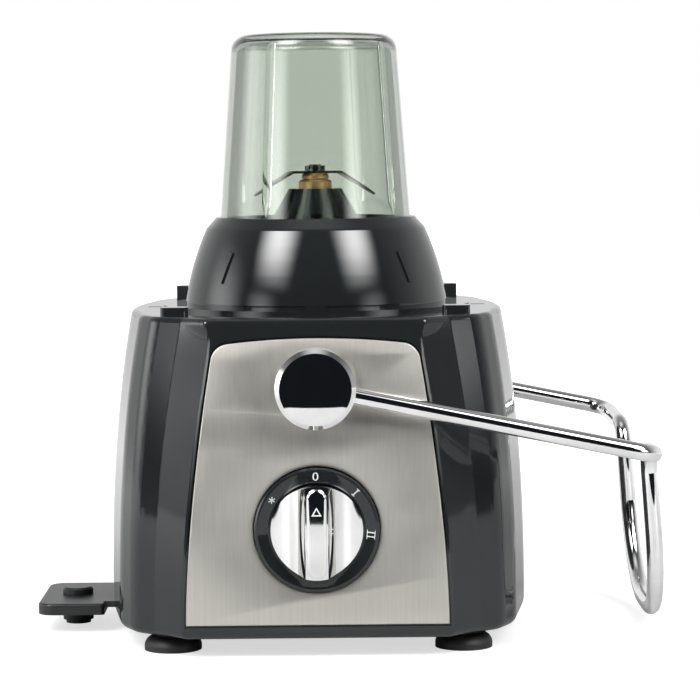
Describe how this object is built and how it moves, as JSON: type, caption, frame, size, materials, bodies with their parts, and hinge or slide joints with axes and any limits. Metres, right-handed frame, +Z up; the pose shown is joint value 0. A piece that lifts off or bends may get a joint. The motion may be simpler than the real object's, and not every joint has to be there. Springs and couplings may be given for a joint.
{
  "type": "centrifugal juicer",
  "caption": "Juicer base with a steel front, speed knob, folding chrome locking handle and side shelf, carrying a dry mill with a smoky clear cup.",
  "frame": {"origin": "on the table plane, under the vertical drive axis of motor and mill", "axes": "+Z up, -Y towards the front panel and knob, +X towards the side the locking handle folds down to"},
  "size_m": [0.3047, 0.2369, 0.2906],
  "materials": {
    "gloss_black": "polished moulded ABS",
    "satin_black": "satin moulded ABS",
    "brushed_steel": "vertically brushed stainless sheet",
    "polished_steel": "ground steel",
    "zinc_screws": "zinc plated",
    "chrome": "mirror chrome plating",
    "rubber": "matt black rubber",
    "nylon": "natural nylon",
    "smoky_clear": "smoke tinted clear",
    "bronze": "sintered bronze and brass",
    "copper": "enamelled copper",
    "laminations": "stacked electrical steel",
    "cast_bracket": "die cast",
    "carbon": "pressed carbon"
  },
  "bodies": {
    "base": {"upper_housing": "gloss_black", "front_steel_panel": "brushed_steel", "bottom_cover": "satin_black", "bottom_screws": "zinc_screws", "foot_front_left": "rubber", "foot_front_right": "rubber", "foot_rear_left": "rubber", "foot_rear_right": "rubber", "cord_gland": "satin_black", "pivot_bushing_front": "nylon", "pivot_bushing_rear": "nylon", "dial_ring": "gloss_black", "rotary_switch": "satin_black", "switch_terminals": "copper", "motor_stator": "laminations", "field_coils": "copper", "lower_motor_bracket": "cast_bracket", "upper_motor_bracket": "cast_bracket", "lower_bearing": "polished_steel", "upper_bearing": "polished_steel", "motor_bolts": "zinc_screws", "mount_grommets": "rubber", "mount_screws": "zinc_screws", "brush_holders": "satin_black", "carbon_brushes": "carbon", "brush_springs": "polished_steel", "shaft_seal": "rubber", "side_shelf": "satin_black", "shelf_screws": "zinc_screws", "shelf_stud": "satin_black", "shelf_foot": "rubber", "microswitch": "satin_black"},
    "handle": {"handle_bar": "chrome", "pivot_cap_front": "chrome", "pivot_cap_rear": "chrome", "pivot_pin_front": "polished_steel", "pivot_pin_rear": "polished_steel"},
    "knob": {"speed_knob": "chrome", "switch_spindle": "polished_steel"},
    "rotor": {"motor_shaft": "polished_steel", "armature_core": "laminations", "armature_windings": "copper", "commutator": "copper", "cooling_fan": "satin_black", "drive_coupling": "satin_black"},
    "mill_base": {"mill_collar": "gloss_black", "mill_seal": "rubber", "blade_bushing": "bronze"},
    "blades": {"blade_spindle": "polished_steel", "blade_spacer": "bronze", "mill_blade": "polished_steel", "blade_nut": "polished_steel", "driven_coupling": "satin_black"},
    "cup": {"mill_cup": "smoky_clear"},
    "interlock": {"interlock_plunger": "nylon"}
  },
  "joints": [
    {"name": "handle_pivot", "type": "hinge", "parent": "base", "child": "handle", "pos_m": [0, 0, 0.1256], "axis": [0, -1, 0], "range_deg": [0, 101]},
    {"name": "knob_turn", "type": "hinge", "parent": "base", "child": "knob", "pos_m": [0, -0.104, 0.06], "axis": [0, 1, 0], "range_deg": [-55, 95]},
    {"name": "motor_spin", "type": "hinge", "parent": "base", "child": "rotor", "pos_m": [0, 0, 0.098], "axis": [0, 0, 1], "continuous": true},
    {"name": "mill_lift", "type": "slide", "parent": "base", "child": "mill_base", "axis": [0, 0, 1], "range_m": [0, 0.15]},
    {"name": "blade_spin", "type": "hinge", "parent": "mill_base", "child": "blades", "pos_m": [0, 0, 0.2], "axis": [0, 0, 1], "continuous": true},
    {"name": "cup_twist", "type": "hinge", "parent": "mill_base", "child": "cup", "pos_m": [0, 0, 0.2], "axis": [0, 0, 1], "range_deg": [0, 30]},
    {"name": "interlock_press", "type": "slide", "parent": "base", "child": "interlock", "axis": [0, 0, -1], "range_m": [0, 0.003], "stiffness_N_per_m": 150, "springref_m": -0.002}
  ],
  "couplings": [
    {"joint": "blade_spin", "follows": "motor_spin", "ratio": 1}
  ]
}
